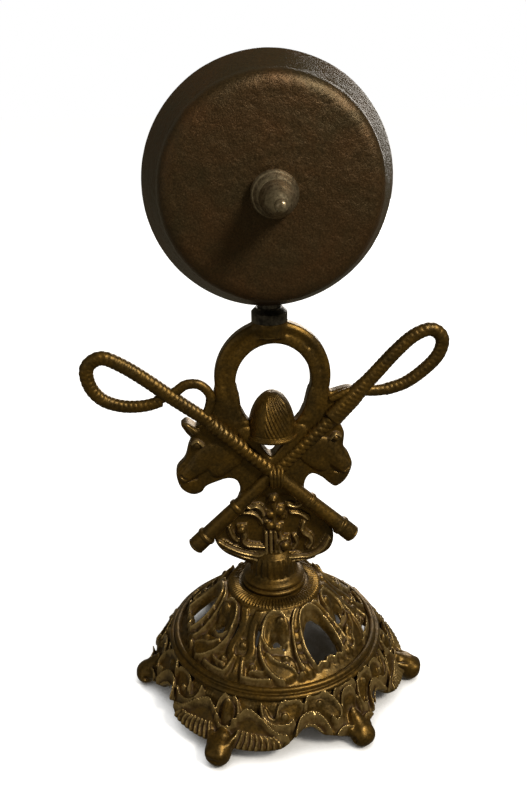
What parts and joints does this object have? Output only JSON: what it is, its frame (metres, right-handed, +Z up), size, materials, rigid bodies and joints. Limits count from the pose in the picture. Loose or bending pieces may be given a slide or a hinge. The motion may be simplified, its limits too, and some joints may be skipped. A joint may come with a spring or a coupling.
{
  "type": "service bell",
  "caption": "Counter bell with a forward-facing gong on a cast stand of horseshoe, horse heads and crossed whips, over a pierced footed base, rung by a rear thumb lever.",
  "frame": {"origin": "on the table, under the middle of the object's bounding box", "axes": "+Z up, -Y towards the front, where the gong faces, +X to the right seen from the front"},
  "size_m": [0.144, 0.1179, 0.265],
  "materials": {
    "cast_bronze": "aged golden-brown bronze patina with worn edges",
    "gong_bronze": "very dark brown pitted patina",
    "nickel": "dull worn nickel plate",
    "dark_steel": "dark oiled steel",
    "steel": "aged bright steel",
    "hammer_brass": "tarnished turned brass",
    "leather": "old pressed leather"
  },
  "bodies": {
    "stand": {"base_casting": "cast_bronze", "tie_stud": "dark_steel", "base_washer": "steel", "base_nut": "dark_steel", "stand_casting": "cast_bronze", "post_collar": "dark_steel", "gong_post": "dark_steel", "gong_stud": "steel", "stud_nut": "steel", "stud_spacer": "steel", "inner_washer": "leather", "gong": "gong_bronze", "outer_washer": "leather", "finial_cup": "nickel", "finial_nut": "nickel", "mechanism_plate": "dark_steel", "plate_screws": "steel", "lever_pin": "steel", "hammer_pivot_screw": "steel", "stop_pin": "steel", "spring_post": "steel", "return_spring": "steel"},
    "lever": {"lever": "dark_steel"},
    "hammer": {"hammer_arm": "dark_steel", "hammer_head": "hammer_brass"}
  },
  "joints": [
    {"name": "lever_press", "type": "hinge", "parent": "stand", "child": "lever", "pos_m": [0, 0.016, 0.2], "axis": [-1, 0, 0], "range_deg": [0, 16]},
    {"name": "hammer_swing", "type": "hinge", "parent": "stand", "child": "hammer", "pos_m": [0.012, 0.0084, 0.2073], "axis": [0, 1, 0], "range_deg": [0, 10.7], "stiffness_Nm_per_rad": 0.08, "springref_deg": -22.92, "deforming": ["return_spring"]}
  ],
  "couplings": [
    {"joint": "hammer_swing", "follows": "lever_press", "ratio": 0.66}
  ]
}
